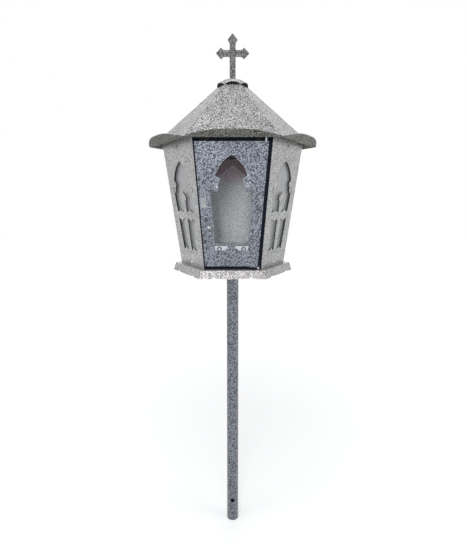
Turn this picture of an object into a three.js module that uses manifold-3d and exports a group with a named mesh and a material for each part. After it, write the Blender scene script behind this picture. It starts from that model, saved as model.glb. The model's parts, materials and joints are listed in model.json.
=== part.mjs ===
// Grave lantern on a pole, in millimetres, +Z up.
// The origin is the centre of the pole's lower end and the door faces -Y.
// A six-sided house of painted steel sheet leans outward from its foot, stands in a
// scalloped tray on top of a tube, and carries a six-faced roof with petal eaves and a cross.
import * as THREE from "three";
import { mergeVertices } from "three/addons/utils/BufferGeometryUtils.js";
import Module from "manifold-3d";

const wasm = await Module();
wasm.setup();

// Clearances
const seatGap = 0.3;
const seamGap = 0.3;
const runningGap = 0.3;
const boltPlay = 0.3;

// Pole and its flange
const poleRadius = 12.5;
const poleWall = 1.5;
const poleLength = 584;
const crossHoleRadius = 4.5;
const crossHoleHeight = 48.5;
const flangeRadius = 30;
const flangeThickness = 3;

// Bolts that hold the flange under the tray
const boltCount = 3;
const boltCircleRadius = 21;
const boltRadius = 3;
const boltHeadRadius = 6;
const boltHeadHeight = 2.5;
const boltTail = 2;
const nutCornerRadius = 5.8;
const nutHeight = 5;

// Tray with a scalloped skirt
const trayCornerRadius = 119.5;
const traySheet = 2;
const skirtDrop = 15.5;
const skirtFlare = 5.3;
const skirtSheet = 1.5;
const skirtNotchPlace = 35;
const skirtNotchHeight = 4;
const skirtNotchSpread = 8;
const skirtLobeRise = 1.2;

// Six-sided house
const houseFootRadius = 107;
const houseTilt = 7.23;
const houseSheet = 1.5;
const wallHeight = 253.4;
const jambDepth = 8.5;
const stopWidth = 6;

// Upstand that the panels are riveted to, standing on the tray
const upstandHeight = 11.5;
const upstandFlange = 10;
const upstandSheet = 1.5;
const footRivetHeight = 7;

// Collar under the roof, with the lintel over the door
const collarDrop = 31;
const lintelDepth = 9.9;
const collarFlange = 14;
const collarSheet = 1.5;
const headRivetBelowCollarTop = 23.5;

// Roof of six faces with petal eaves
const eaveRadius = 166;
const roofPitch = 44.87;
const roofOpeningRadius = 22;
const roofSheet = 1.2;
const petalLength = 23;
const petalLift = 31;
const petalSeamReach = 3.5;
const petalMiddleHalf = 12;
const eaveBendRadius = 3;

// Cap, a small roof over the meeting point
const capEaveRadius = 30.5;
const capTopRadius = 25;
const capHeight = 9.6;
const capSheet = 1.2;
const capPetalLength = 6.5;
const capPetalLift = 45;
const capPetalSeamReach = 0.6;
const capPetalMiddleHalf = 2;
const capBendRadius = 1.2;
const capFaceLap = 0.1;

// Cross of flat plate with lozenge ends
const crossSheet = 2.5;
const crossHeight = 92.2;
const crossStemWidth = 11.8;
const crossArmHeight = 12.8;
const crossArmAboveFoot = 54.1;
const crossArmReach = 33.3;
const sideLozengePlace = 22.8;
const sideLozengeHalf = 11.2;
const topLozengeHalf = 10.1;
const topLozengePoint = 12.6;
const crossCornerRadius = 1.6;
const tangWidth = 8;
const tangLength = 5;

// Door pan
const doorLatchGap = 2.5;
const doorHingeGap = 6.7;
const doorFootHeight = 6.25;
const doorHeadGap = 10.9;
const doorSheet = 1.5;
const doorReturn = 8;

// Door hinge, an axis in the leaning front face
const hingeDepth = 3.55;
const hingeHeadInset = 12.1;
const hingeFootInset = 5;
const pinRadius = 1.75;
const pinShoulderRadius = 3.2;
const pinStandProud = 1;
const pinEngagement = 7;
const lugThickness = 2;
const lugRadius = 3.2;
const lugLength = 16;

// Door window: pointed arch over a necked shaft with scrolls
const doorArchBelowHead = 22.85;
const doorArchRise = 36.3;
const doorArchHalf = 28.5;
const doorArchBow = 4.6;
const doorArchTuck = 1.5;
const doorNeckHalf = 23.5;
const doorLobePlace = 24.9;
const doorLobeRadius = 5.5;
const doorLobeBelowApex = 44.9;
const doorScrollRadius = 6.2;
const doorScrollPlace = 29.8;
const doorScrollBelowApex = 59.5;
const doorSlitWidth = 2.2;
const doorSlitFrom = -40;
const doorSlitTo = 75;
const doorShaftBelowApex = 63.5;
const doorShaftTopHalf = 38;
const doorShaftFoot = 37.3;
const doorShaftFootHalf = 30.5;
const fleurTip = 15.1;
const fleurHalf = 8.2;
const fleurRingPlace = 22.6;
const fleurRingRise = 2.6;
const fleurRingRadius = 2.2;
const fleurRingBand = 2.6;
const fleurCurlPlace = 8.5;
const fleurCurlRadius = 3.6;
const fleurPiercingPlace = 5.3;
const fleurPiercingDrop = 2.8;
const fleurPiercingRadius = 1.6;

// Glass in the door
const glassThickness = 3;
const doorGlassLap = 4;
const doorGlassSill = 45.4;
const ledgeHalf = 33;
const ledgeFoot = 33;
const ledgeLip = 6;
const ledgeSheet = 1.2;
const clipHeight = 81;
const clipWidth = 9;
const clipFoot = 5.5;
const clipReach = 5;

// Latch on the door
const latchInset = 11;
const latchHeight = 142.9;
const rosetteHalfWidth = 5.6;
const rosetteHalfHeight = 8.6;
const rosetteLobeCount = 8;
const rosetteLobeDepth = 0.7;
const rosetteThickness = 3;
const tabLength = 26.5;
const tabWidth = 9.5;
const tabThickness = 2;
const spindleRadius = 3;
const spindleSquare = 4;
const camReach = 11;
const camWidth = 8;
const camThickness = 2;
const camClearance = 0.9;
const spindleTail = 1;

// Side windows: arch, two upper and two lower lights round a mullion and a transom
const archBelowTop = 50.3;
const archRise = 34.2;
const archHalf = 36;
const archBow = 5.2;
const archTuck = 1;
const archReturn = 2.5;
const neckHalf = 33.5;
const lobeRadius = 5.2;
const lobeBelowApex = 42.6;
const scrollRadius = 5;
const scrollPlace = 39;
const scrollBelowApex = 54.9;
const slitWidth = 2;
const slitFrom = -45;
const slitTo = 55;
const upperLightBelowApex = 58.6;
const upperLightTopHalf = 42.5;
const transomTop = 109.4;
const transomTopHalf = 37.5;
const transomFoot = 93.2;
const transomFootHalf = 36;
const lowerLightFoot = 34.3;
const lowerLightFootHalf = 29;
const mullionHalf = 7;
const spearTip = 38.3;
const spearWidest = 25.7;
const spearHalf = 12;
const spearShoulder = 7;
const bumpRadius = 4.6;
const bumpSink = 1.5;
const dipRadius = 1.7;
const piercingRadius = 1.7;
const piercingDrop = 6;
const piercingPlaces = [2.9, 14, 29];

// Glass in the side windows and the channel frames that hold it
const frameMargin = 13;
const frameWall = 1;
const frameFrontLip = 2.4;
const frameBackLip = 1.5;
const frameLap = 2.7;
const frameFoot = 13.5;
const frameAboveApex = 6.9;

// Rivets
const rivetRadius = 1.6;
const rivetHeadRadius = 2.7;
const rivetHeadHeight = 1.1;
const rivetTailRadius = 2.5;
const rivetTailHeight = 1;

// Smoothness of round pieces
const poleSides = 32;
const pinSides = 12;
const rivetSides = 10;
const discSides = 14;
const piercingSides = 8;
const curveSteps = 4;
const petalSteps = 8;
const domeSteps = 3;

// How far a cutter reaches to either side of a sheet, and past the end of a solid
const cutDepth = 6;
const pastEnd = 1;

const degree = Math.PI / 180;
const cos30 = Math.cos(30 * degree);
const tilt = houseTilt * degree;
const pitch = roofPitch * degree;

// Heights that follow from the pieces stacked on the pole
const flangeFoot = poleLength + seatGap;
const trayPlateFoot = flangeFoot + flangeThickness + seatGap;
const trayTop = trayPlateFoot + traySheet;
const houseFoot = trayTop + seatGap;
const houseTop = houseFoot + wallHeight;
const lintelFoot = houseTop - lintelDepth;

// Heights of the door and the windows, up the slope of the faces from the house's foot
const upSlope = (z) => (z - houseFoot) / Math.cos(tilt);
const lintelHeight = upSlope(lintelFoot);
const doorHead = lintelHeight - doorHeadGap;
const doorArchApex = doorHead - doorArchBelowHead;
const doorArchSpring = doorArchApex - doorArchRise;
const doorLobeHeight = doorArchApex - doorLobeBelowApex;
const doorScrollHeight = doorArchApex - doorScrollBelowApex;
const doorShaftTop = doorArchApex - doorShaftBelowApex;
const archApex = upSlope(houseTop) - archBelowTop;
const archSpring = archApex - archRise;
const lobeHeight = archApex - lobeBelowApex;
const scrollHeight = archApex - scrollBelowApex;
const upperLightTop = archApex - upperLightBelowApex;
const frameTop = archApex + frameAboveApex;

// Materials
const paint = (color, roughness) => new THREE.MeshStandardMaterial({ color, roughness, metalness: 0.35 });
const palePaint = paint(0xaeb0ad, 0.5);
const doorPaint = paint(0x858b95, 0.45);
const polePaint = paint(0x7c8288, 0.42);
const crossPaint = paint(0x7f8180, 0.5);
const darkPaint = paint(0x2a2f3a, 0.55);
const bareSteel = new THREE.MeshStandardMaterial({ color: 0xb9bcc0, roughness: 0.35, metalness: 0.9 });
const whiteStrip = new THREE.MeshStandardMaterial({ color: 0xdfe3e2, roughness: 0.6, metalness: 0 });
const clearGlass = new THREE.MeshStandardMaterial({
  color: 0xcfd8d6,
  roughness: 0.06,
  metalness: 0,
  transparent: true,
  opacity: 0.3,
});

// A closed three.js geometry as a solid that can be joined and cut.
function solidFrom(geometry) {
  const plain = geometry.index ? geometry.toNonIndexed() : geometry.clone();
  plain.deleteAttribute("normal");
  plain.deleteAttribute("uv");
  const merged = mergeVertices(plain, 1e-4);
  return new wasm.Manifold(
    new wasm.Mesh({
      numProp: 3,
      vertProperties: merged.attributes.position.array,
      triVerts: new Uint32Array(merged.index.array),
    }),
  );
}

// A solid as a mesh with its own name and material.
function meshFrom(name, solid, material) {
  const made = solid.getMesh();
  const geometry = new THREE.BufferGeometry();
  geometry.setAttribute("position", new THREE.BufferAttribute(made.vertProperties, 3));
  geometry.setIndex(new THREE.BufferAttribute(made.triVerts, 1));
  geometry.computeVertexNormals();
  const mesh = new THREE.Mesh(geometry, material);
  mesh.name = name;
  return mesh;
}

// A flat shape given depth along +Z, starting at zFrom.
function slab(shape, zFrom, zTo, matrix) {
  const geometry = new THREE.ExtrudeGeometry(shape, {
    depth: zTo - zFrom,
    bevelEnabled: false,
    curveSegments: curveSteps,
  });
  geometry.translate(0, 0, zFrom);
  if (matrix) {
    geometry.applyMatrix4(matrix);
  }
  return solidFrom(geometry);
}

// A round bar along +Z of the given frame.
function bar(radius, zFrom, zTo, sides, matrix) {
  const geometry = new THREE.CylinderGeometry(radius, radius, zTo - zFrom, sides);
  geometry.rotateX(90 * degree);
  geometry.translate(0, 0, (zFrom + zTo) / 2);
  if (matrix) {
    geometry.applyMatrix4(matrix);
  }
  return solidFrom(geometry);
}

// A profile of (radius, height) points turned round +Z.
function turned(points, sides, matrix) {
  const geometry = new THREE.LatheGeometry(
    points.map(([radius, height]) => new THREE.Vector2(radius, height)),
    sides,
  );
  geometry.rotateX(90 * degree);
  if (matrix) {
    geometry.applyMatrix4(matrix);
  }
  return solidFrom(geometry);
}

// A solid between two plan outlines of as many points, one above the other.
function loft(lower, upper, zLower, zUpper) {
  if (THREE.ShapeUtils.isClockWise(lower)) {
    return loft([...lower].reverse(), [...upper].reverse(), zLower, zUpper);
  }
  const count = lower.length;
  const places = [];
  lower.forEach((point) => places.push(point.x, point.y, zLower));
  upper.forEach((point) => places.push(point.x, point.y, zUpper));
  const faces = [];
  for (let i = 0; i < count; i++) {
    const next = (i + 1) % count;
    faces.push(i, next, count + next, i, count + next, count + i);
  }
  for (const [a, b, c] of THREE.ShapeUtils.triangulateShape(lower, [])) {
    faces.push(c, b, a, count + a, count + b, count + c);
  }
  const geometry = new THREE.BufferGeometry();
  geometry.setAttribute("position", new THREE.Float32BufferAttribute(places, 3));
  geometry.setIndex(faces);
  return solidFrom(geometry);
}

function joined(solids) {
  return solids.reduce((whole, piece) => whole.add(piece));
}

function cutFrom(solid, cutters) {
  return cutters.reduce((rest, cutter) => rest.subtract(cutter), solid);
}

const polygon = (points) => new THREE.Shape(points.map(([x, y]) => new THREE.Vector2(x, y)));

// A closed outline whose corners are rounded off over a distance.
function roundedPolygon(points, radius) {
  const shape = new THREE.Shape();
  const corners = points.map(([x, y]) => new THREE.Vector2(x, y));
  corners.forEach((corner, i) => {
    const before = corners[(i + corners.length - 1) % corners.length];
    const after = corners[(i + 1) % corners.length];
    const start = corner.clone().add(before.clone().sub(corner).setLength(radius));
    const end = corner.clone().add(after.clone().sub(corner).setLength(radius));
    if (i === 0) {
      shape.moveTo(start.x, start.y);
    } else {
      shape.lineTo(start.x, start.y);
    }
    shape.quadraticCurveTo(corner.x, corner.y, end.x, end.y);
  });
  return shape;
}

function disc(x, y, radius, sides = discSides) {
  const points = Array.from({ length: sides }, (_, i) => {
    const angle = (2 * Math.PI * (i + 0.5)) / sides;
    return [x + radius * Math.cos(angle), y + radius * Math.sin(angle)];
  });
  return polygon(points);
}

// Plan geometry of the house. Face 0 is the front, and the others follow counter-clockwise.
const faceAngle = (face) => (face * 60 - 90) * degree;
const faceNormal = (face) => new THREE.Vector2(Math.cos(faceAngle(face)), Math.sin(faceAngle(face)));
const faceTangent = (face) => new THREE.Vector2(-Math.sin(faceAngle(face)), Math.cos(faceAngle(face)));
const houseApothem = (z) => houseFootRadius * cos30 + (z - houseFoot) * Math.tan(tilt);

// The corner between a face and the next one, each at its own distance from the axis.
function planCorner(face, distance, nextDistance) {
  const a = faceNormal(face);
  const b = faceNormal(face + 1);
  const det = a.x * b.y - a.y * b.x;
  return new THREE.Vector2(
    (distance * b.y - nextDistance * a.y) / det,
    (a.x * nextDistance - b.x * distance) / det,
  );
}

// A hexagon whose sides lie at the given distances from the axis.
function hexagon(distances) {
  return distances.map((distance, face) => planCorner(face, distance, distances[(face + 1) % 6]));
}

const evenHexagon = (apothem) => hexagon(Array(6).fill(apothem));

// A leaning hexagonal block, set in from the house's faces by one inset for each face.
function houseBlock(insets, zFrom, zTo) {
  const outlineAt = (z) => hexagon(insets.map((inset) => houseApothem(z) - inset));
  return loft(outlineAt(zFrom), outlineAt(zTo), zFrom, zTo);
}

// A leaning ring of sheet that follows the house's faces.
function houseRing(insets, sheet, zFrom, zTo) {
  const inner = insets.map((inset) => inset + sheet / Math.cos(tilt));
  return houseBlock(insets, zFrom, zTo).subtract(houseBlock(inner, zFrom - 1, zTo + 1));
}

// A flat ring: from the given insets inward by a width.
function flatRing(insets, width, sheet, zFrom) {
  const inner = insets.map((inset) => inset + width);
  return houseBlock(insets, zFrom, zFrom + sheet).subtract(houseBlock(inner, zFrom - 1, zFrom + sheet + 1));
}

// Everything in front of a plane that runs behind the front face at a depth.
function frontBlock(depth, zFrom, zTo) {
  const outlineAt = (z) => {
    const y = -houseApothem(z) + depth;
    const reach = 2 * eaveRadius;
    return [
      new THREE.Vector2(-reach, y - reach),
      new THREE.Vector2(reach, y - reach),
      new THREE.Vector2(reach, y),
      new THREE.Vector2(-reach, y),
    ];
  };
  return loft(outlineAt(zFrom), outlineAt(zTo), zFrom, zTo);
}

// The frame of a face: X along it, Y up its slope, Z out of it, from the middle of its foot.
function faceMatrix(face) {
  const n = faceNormal(face);
  const t = faceTangent(face);
  const x = new THREE.Vector3(t.x, t.y, 0);
  const y = new THREE.Vector3(n.x * Math.sin(tilt), n.y * Math.sin(tilt), Math.cos(tilt));
  const z = new THREE.Vector3().crossVectors(x, y);
  const foot = houseApothem(houseFoot);
  return new THREE.Matrix4().makeBasis(x, y, z).setPosition(n.x * foot, n.y * foot, houseFoot);
}

function faceGroup(face) {
  const group = new THREE.Group();
  faceMatrix(face).decompose(group.position, group.quaternion, group.scale);
  return group;
}

// Half the width of a face, at a height measured up its slope.
const faceHalf = (v) => houseFootRadius / 2 + (v * Math.sin(tilt)) / (2 * cos30);

// A band of the face between two heights, with a margin to its left and right edges.
function faceBand(vFrom, vTo, leftMargin, rightMargin = leftMargin) {
  return polygon([
    [-faceHalf(vFrom) + leftMargin, vFrom],
    [faceHalf(vFrom) - rightMargin, vFrom],
    [faceHalf(vTo) - rightMargin, vTo],
    [-faceHalf(vTo) + leftMargin, vTo],
  ]);
}

// Roof surface: it lies on the house's walls, so it rises and falls with them.
const eaveApothem = eaveRadius * cos30;
const roofAboveWall = (roofSheet + seatGap) / Math.cos(pitch);
const roofHeight = (apothem) => houseTop + roofAboveWall + (houseApothem(houseTop) - apothem) * Math.tan(pitch);
const eaveHeight = roofHeight(eaveApothem);

// The collar's wall stands in from the panels, so it reaches a little higher under the roof.
const collarInset = houseSheet / Math.cos(tilt) + seatGap;
const collarRise = (collarInset * Math.tan(pitch)) / (1 + Math.tan(tilt) * Math.tan(pitch));
const collarTop = houseTop + collarRise;

// Pole: a tube with a bolt hole through both walls near its lower end.
function poleTube() {
  const inner = poleRadius - poleWall;
  const tube = turned(
    [
      [poleRadius, 0],
      [poleRadius, poleLength],
      [inner, poleLength],
      [inner, 0],
      [poleRadius, 0],
    ],
    poleSides,
  );
  const across = new THREE.Matrix4().makeRotationX(90 * degree).setPosition(0, 0, crossHoleHeight);
  return tube.subtract(bar(crossHoleRadius, -2 * poleRadius, 2 * poleRadius, 16, across));
}

const boltPlace = (index) => {
  const angle = (90 + (index * 360) / boltCount) * degree;
  return new THREE.Vector3(boltCircleRadius * Math.cos(angle), boltCircleRadius * Math.sin(angle), 0);
};

const boltFrame = (index) => new THREE.Matrix4().setPosition(boltPlace(index));

function boltHoles(zFrom, zTo) {
  return Array.from({ length: boltCount }, (_, i) =>
    bar(boltRadius + boltPlay, zFrom, zTo, pinSides, boltFrame(i)),
  );
}

function poleFlange() {
  const plate = bar(flangeRadius, flangeFoot, flangeFoot + flangeThickness, poleSides);
  return cutFrom(plate, boltHoles(flangeFoot - 1, trayTop));
}

const nutTop = flangeFoot - seatGap;

// Round-headed bolt, its head on the tray's floor.
function flangeBolt(index) {
  const headFoot = trayTop + seatGap;
  const tip = nutTop - nutHeight - boltTail;
  const dome = Array.from({ length: domeSteps + 1 }, (_, i) => {
    const angle = (90 * degree * i) / domeSteps;
    return [boltHeadRadius * Math.cos(angle), headFoot + boltHeadHeight * Math.sin(angle)];
  });
  dome[domeSteps][0] = 0;
  return turned(
    [
      [0, tip],
      [boltRadius, tip],
      [boltRadius, headFoot],
      ...dome,
    ],
    pinSides,
    boltFrame(index),
  );
}

function flangeNut(index) {
  const body = bar(nutCornerRadius, nutTop - nutHeight, nutTop, 6, boltFrame(index));
  return body.subtract(bar(boltRadius + boltPlay, 0, nutTop + 1, pinSides, boltFrame(index)));
}

// One side's scalloped lower edge, as the shape that is cut away below it.
function skirtCutter() {
  const notch = skirtNotchHeight;
  const lobe = skirtLobeRise / 2;
  const place = skirtNotchPlace;
  const spread = skirtNotchSpread;
  const shape = new THREE.Shape();
  shape.moveTo(-place - spread, -pastEnd);
  shape.lineTo(-place - spread, 0);
  shape.quadraticCurveTo(-place - spread / 4, 0, -place, notch);
  shape.quadraticCurveTo(-place + spread / 4, lobe, -place + spread, lobe);
  shape.quadraticCurveTo(0, -lobe, place - spread, lobe);
  shape.quadraticCurveTo(place - spread / 4, lobe, place, notch);
  shape.quadraticCurveTo(place + spread / 4, 0, place + spread, 0);
  shape.lineTo(place + spread, -pastEnd);
  return shape;
}

// Tray: a flat floor whose edge is folded down all round and cut to lobes.
function baseTray() {
  const skirtFoot = trayTop - skirtDrop;
  const top = trayCornerRadius * cos30;
  const foot = (trayCornerRadius + skirtFlare) * cos30;
  const slope = (foot - top) / skirtDrop;
  const wall = skirtSheet * Math.hypot(1, slope);
  const innerFoot = foot - wall + slope;
  const innerTop = top - wall + slope * traySheet;
  const outer = loft(evenHexagon(foot), evenHexagon(top), skirtFoot, trayTop);
  const hollow = loft(evenHexagon(innerFoot), evenHexagon(innerTop), skirtFoot - 1, trayPlateFoot);
  const scallops = [];
  for (let face = 0; face < 6; face++) {
    const n = faceNormal(face);
    const t = faceTangent(face);
    const frame = new THREE.Matrix4().makeBasis(
      new THREE.Vector3(t.x, t.y, 0),
      new THREE.Vector3(0, 0, 1),
      new THREE.Vector3(n.x, n.y, 0),
    );
    frame.setPosition(0, 0, skirtFoot);
    scallops.push(slab(skirtCutter(), top - skirtFlare, foot + skirtFlare, frame));
  }
  return cutFrom(outer.subtract(hollow), [...scallops, ...boltHoles(trayPlateFoot - 1, trayTop + 1)]);
}

// A rivet along the face's outward direction, closed over a grip of sheet.
function rivet(x, y, grip) {
  const inside = -grip - seatGap;
  const head = seatGap;
  return turned(
    [
      [0, inside - rivetTailHeight],
      [rivetTailRadius, inside - rivetTailHeight],
      [rivetTailRadius, inside],
      [rivetRadius, inside],
      [rivetRadius, head],
      [rivetHeadRadius, head],
      [rivetHeadRadius * 0.7, head + rivetHeadHeight * 0.8],
      [0, head + rivetHeadHeight],
    ],
    rivetSides,
    new THREE.Matrix4().setPosition(x, y, 0),
  );
}

const rivetHole = (x, y, matrix) =>
  slab(disc(x, y, rivetRadius + boltPlay, rivetSides), -cutDepth, cutDepth, matrix);

const headRivetHeight = (collarTop - headRivetBelowCollarTop - houseFoot) / Math.cos(tilt);
const rivetedFaces = [1, 2, 3, 4, 5];
const rivetHoles = (height) => rivetedFaces.map((face) => rivetHole(0, height, faceMatrix(face)));

// How far the jambs and the stops behind them reach back from the front face.
const jambBack = jambDepth + seatGap + houseSheet;

// Upstand: an angle ring on the tray inside the panels, set back under the door as a sill.
function baseUpstand() {
  const sillDepth = jambBack + seatGap;
  const insets = [sillDepth, ...Array(5).fill(collarInset)];
  const wall = houseRing(insets, upstandSheet, houseFoot, houseFoot + upstandHeight);
  const floor = flatRing(insets, upstandFlange, upstandSheet, houseFoot);
  return cutFrom(wall.add(floor), rivetHoles(footRivetHeight));
}

// Collar: an angle ring under the roof. Its front is the lintel, flush with the face.
function roofCollar() {
  const insets = [0, ...Array(5).fill(collarInset)];
  const ring = houseRing(insets, collarSheet, collarTop - collarDrop, houseTop);
  const doorway = frontBlock(jambBack + seatGap, collarTop - collarDrop - 1, lintelFoot);
  const shelf = flatRing(insets, collarFlange, collarSheet, lintelFoot);
  const holes = [...rivetHoles(headRivetHeight), hingeBore(pinRadius + seatGap)];
  return cutFrom(ring.subtract(doorway).add(shelf), holes);
}

// A panel's section at a height, mitred at both corners.
function panelSection(face, z) {
  const outer = houseApothem(z);
  const inner = outer - houseSheet / Math.cos(tilt);
  const slide = faceTangent(face).multiplyScalar(seamGap / 2);
  return [
    planCorner(face - 1, outer, outer).add(slide),
    planCorner(face, outer, outer).sub(slide),
    planCorner(face, inner, inner).sub(slide),
    planCorner(face - 1, inner, inner).add(slide),
  ];
}

// The front-left panel's section, folded in at the door as a jamb.
function jambSection(z) {
  const outer = houseApothem(z);
  const inner = outer - houseSheet / Math.cos(tilt);
  const slide = faceTangent(5).multiplyScalar(seamGap / 2);
  const rearOuter = planCorner(4, outer, outer).add(slide);
  const rearInner = planCorner(4, inner, inner).add(slide);
  const fold = planCorner(5, outer, outer);
  const back = fold.x - houseSheet;
  const along = (back - rearInner.x) / faceTangent(5).x;
  const foldInner = rearInner.clone().addScaledVector(faceTangent(5), along);
  const jambEnd = fold.y + jambDepth;
  return [
    rearOuter,
    fold,
    new THREE.Vector2(fold.x, jambEnd),
    new THREE.Vector2(back, jambEnd),
    foldInner,
    rearInner,
  ];
}

// The left stop's section: a flat strip across the jamb's end, reaching behind the door.
function stopSection(z) {
  const outer = houseApothem(z);
  const fold = planCorner(5, outer, outer);
  const near = fold.y + jambDepth + seatGap;
  return [
    new THREE.Vector2(fold.x - houseSheet, near),
    new THREE.Vector2(fold.x + stopWidth, near),
    new THREE.Vector2(fold.x + stopWidth, near + houseSheet),
    new THREE.Vector2(fold.x - houseSheet, near + houseSheet),
  ];
}

const jambTop = lintelFoot - seatGap;
const unturned = (points) => points;
const mirrored = (points) => points.map((point) => new THREE.Vector2(-point.x, point.y));

// Strip that the door closes against, behind the left or the right jamb.
function doorStop(turn) {
  return loft(turn(stopSection(houseFoot)), turn(stopSection(jambTop)), houseFoot, jambTop);
}

function wallPanel(face) {
  return loft(panelSection(face, houseFoot), panelSection(face, houseTop), houseFoot, houseTop);
}

function frontPanel(face) {
  const turn = face === 1 ? mirrored : unturned;
  const lower = loft(turn(jambSection(houseFoot)), turn(jambSection(jambTop)), houseFoot, jambTop);
  const upper = loft(panelSection(face, jambTop), panelSection(face, houseTop), jambTop, houseTop);
  return lower.add(upper);
}

// Half of a pointed opening whose sides bow out, mirrored to a whole.
function pointedArch(apex, spring, half, bow, foot, footHalf) {
  const middle = new THREE.Vector2(half / 2, (apex + spring) / 2);
  const outward = new THREE.Vector2(apex - spring, half).setLength(2 * bow);
  const control = middle.add(outward);
  const shape = new THREE.Shape();
  shape.moveTo(0, apex);
  shape.quadraticCurveTo(-control.x, control.y, -half, spring);
  shape.lineTo(-footHalf, foot);
  shape.lineTo(footHalf, foot);
  shape.lineTo(half, spring);
  shape.quadraticCurveTo(control.x, control.y, 0, apex);
  return shape;
}

// A curved slit that runs round a scroll, from one angle to another.
function scrollSlit(x, y, radius, width, fromDegrees, toDegrees) {
  const shape = new THREE.Shape();
  shape.absarc(x, y, radius + width, fromDegrees * degree, toDegrees * degree, false);
  shape.absarc(x, y, radius, toDegrees * degree, fromDegrees * degree, true);
  return shape;
}

const bothSides = (make) => [make(1), make(-1)];
const mirroredSlit = (side, x, y, radius, width, from, to) =>
  side > 0
    ? scrollSlit(x, y, radius, width, from, to)
    : scrollSlit(-x, y, radius, width, 180 - to, 180 - from);

// The solid spear that grows up from the transom between the upper lights.
function spear() {
  const foot = transomTop - 1;
  return polygon([
    [-mullionHalf, foot],
    [mullionHalf, foot],
    [mullionHalf, transomTop + spearWidest - spearShoulder],
    [spearHalf, transomTop + spearWidest],
    [0, transomTop + spearTip],
    [-spearHalf, transomTop + spearWidest],
    [-mullionHalf, transomTop + spearWidest - spearShoulder],
  ]);
}

// The end of a light: a round bump in the middle with a dip on either side.
function lightEnd(side, outerHalf, height, into) {
  const middle = (side * (mullionHalf + outerHalf)) / 2;
  const dipPlace = (outerHalf - mullionHalf) / 2 - 1.6 * dipRadius;
  return {
    bumps: [disc(middle, height - into, bumpRadius)],
    dips: [-1, 1].map((way) => disc(middle + way * dipPlace, height - into * 0.6, dipRadius, piercingSides)),
  };
}

// The tracery of a side panel in its face's frame, as the solid that is cut out of it.
function sideTracery() {
  const cut = (shape) => slab(shape, -cutDepth, cutDepth);
  const arch = pointedArch(
    archApex,
    archSpring,
    archHalf,
    archBow,
    archSpring - archReturn,
    archHalf - archTuck,
  );
  const neck = polygon([
    [-neckHalf, upperLightTop - 1],
    [neckHalf, upperLightTop - 1],
    [neckHalf, archSpring],
    [-neckHalf, archSpring],
  ]);
  const upper = polygon([
    [-transomTopHalf, transomTop],
    [transomTopHalf, transomTop],
    [upperLightTopHalf, upperLightTop],
    [-upperLightTopHalf, upperLightTop],
  ]);
  const lower = polygon([
    [-lowerLightFootHalf, lowerLightFoot],
    [lowerLightFootHalf, lowerLightFoot],
    [transomFootHalf, transomFoot],
    [-transomFootHalf, transomFoot],
  ]);
  const mullion = polygon([
    [-mullionHalf, lowerLightFoot - 1],
    [mullionHalf, lowerLightFoot - 1],
    [mullionHalf, transomFoot + 1],
    [-mullionHalf, transomFoot + 1],
  ]);
  const ends = [1, -1].flatMap((side) => [
    lightEnd(side, transomTopHalf, transomTop, bumpSink),
    lightEnd(side, transomFootHalf, transomFoot, -bumpSink),
    lightEnd(side, lowerLightFootHalf, lowerLightFoot, bumpSink),
  ]);
  const open = joined([arch, neck, upper, lower].map(cut));
  const kept = [
    spear(),
    mullion,
    ...bothSides((side) => disc(side * neckHalf, lobeHeight, lobeRadius)),
    ...bothSides((side) => disc(side * scrollPlace, scrollHeight, scrollRadius)),
    ...ends.flatMap((end) => end.bumps),
  ];
  const slits = [
    ...bothSides((side) =>
      mirroredSlit(side, scrollPlace, scrollHeight, scrollRadius, slitWidth, slitFrom, slitTo),
    ),
    ...ends.flatMap((end) => end.dips),
    ...piercingPlaces.flatMap((place) =>
      bothSides((side) => disc(side * place, lowerLightFoot - piercingDrop, piercingRadius, piercingSides)),
    ),
  ];
  return joined([cutFrom(open, kept.map(cut)), ...slits.map(cut)]);
}

const windowFaces = [1, 2, 4, 5];

function housePanel(face) {
  const sheet = face === 1 || face === 5 ? frontPanel(face) : wallPanel(face);
  const holes = [footRivetHeight, headRivetHeight].map((height) => rivetHole(0, height, faceMatrix(face)));
  const tracery = windowFaces.includes(face) ? [sideTracery().transform(faceMatrix(face).elements)] : [];
  return cutFrom(sheet, [...holes, ...tracery]);
}

// Channel frame and glass of a side window, in the frame of its face.
const frameFront = -houseSheet - seatGap;
const glassFront = frameFront - frameFrontLip - seatGap;
const frameBack = glassFront - glassThickness - seatGap - frameBackLip;

function glazingFrame() {
  const outer = slab(faceBand(frameFoot, frameTop, frameMargin), frameBack, frameFront);
  const cavity = slab(
    faceBand(frameFoot + frameWall, frameTop + pastEnd, frameMargin + frameWall),
    glassFront - glassThickness - seatGap,
    glassFront + seatGap,
  );
  const lap = frameMargin + frameWall + frameLap;
  const light = slab(
    faceBand(frameFoot + frameWall + frameLap, frameTop + pastEnd, lap),
    frameBack - pastEnd,
    frameFront + pastEnd,
  );
  return outer.subtract(cavity).subtract(light);
}

function sideGlass() {
  const margin = frameMargin + frameWall + seatGap;
  const foot = frameFoot + frameWall + seatGap;
  return slab(faceBand(foot, frameTop + 1, margin), glassFront - glassThickness, glassFront);
}

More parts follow.
